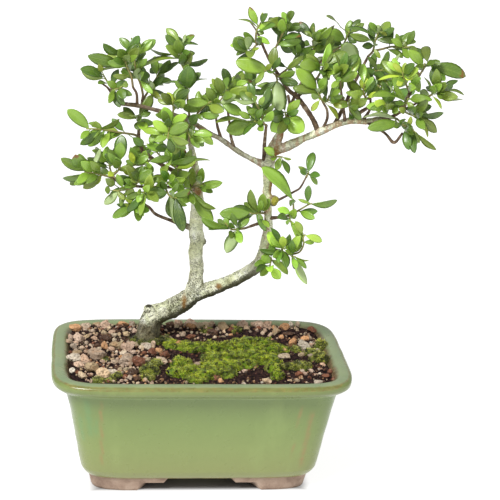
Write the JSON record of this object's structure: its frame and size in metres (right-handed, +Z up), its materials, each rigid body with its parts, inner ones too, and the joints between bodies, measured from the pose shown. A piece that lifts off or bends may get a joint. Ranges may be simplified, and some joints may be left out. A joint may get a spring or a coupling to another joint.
{
  "type": "firethorn bonsai in pot",
  "caption": "Gnarled firethorn tree with spreading leafy sprays, growing out of mossy soil in a shallow oblong glazed pot on bracket feet.",
  "frame": {"origin": "centre of the object's outline seen from above, on the surface the pot stands on", "axes": "+X along the pot's long side towards the right branch, +Y to the back of the pot, +Z up"},
  "size_m": [0.2732, 0.1408, 0.324],
  "materials": {
    "glaze": "glossy sage green glaze with brown breaks on the edges, bare clay feet",
    "plastic": "matt dark mesh",
    "soil": "dark crumbly bonsai soil with pale gravel",
    "moss": "soft bright green moss",
    "bark": "rough pale grey bark with lichen",
    "leaf": "glossy green leaf"
  },
  "bodies": {
    "root": {"pot": "glaze", "drain_screen_left": "plastic", "drain_screen_right": "plastic", "soil": "soil", "moss_large": "moss", "moss_small": "moss", "tree": "bark", "spray_left_top_01": "leaf", "spray_left_top_02": "leaf", "spray_left_top_03": "leaf", "spray_left_top_04": "leaf", "spray_left_top_05": "leaf", "spray_left_top_06": "leaf", "spray_left_top_07": "leaf", "spray_left_top_08": "leaf", "spray_left_top_09": "leaf", "spray_left_top_10": "leaf", "spray_left_top_11": "leaf", "spray_right_top_01": "leaf", "spray_right_top_02": "leaf", "spray_right_top_03": "leaf", "spray_right_top_04": "leaf", "spray_right_top_05": "leaf", "spray_right_top_06": "leaf", "spray_right_top_07": "leaf", "spray_right_top_08": "leaf", "spray_right_top_09": "leaf", "spray_right_top_10": "leaf", "spray_right_top_11": "leaf", "spray_right_top_12": "leaf", "spray_right_top_13": "leaf", "spray_right_top_14": "leaf", "spray_right_top_15": "leaf", "spray_right_top_16": "leaf", "spray_right_top_17": "leaf", "spray_right_top_18": "leaf", "spray_right_top_19": "leaf", "spray_right_top_20": "leaf", "spray_right_top_21": "leaf", "spray_right_top_22": "leaf", "spray_right_top_23": "leaf", "spray_right_top_24": "leaf", "spray_middle_01": "leaf", "spray_middle_02": "leaf", "spray_middle_03": "leaf", "spray_middle_04": "leaf", "spray_middle_05": "leaf", "spray_middle_06": "leaf", "spray_left_low_01": "leaf", "spray_left_low_02": "leaf", "spray_left_low_03": "leaf", "spray_left_low_04": "leaf", "spray_left_low_05": "leaf", "spray_left_low_06": "leaf", "spray_left_low_07": "leaf", "spray_left_low_08": "leaf", "spray_left_low_09": "leaf", "spray_left_low_10": "leaf", "spray_back_01": "leaf", "spray_back_02": "leaf"}
  },
  "joints": []
}
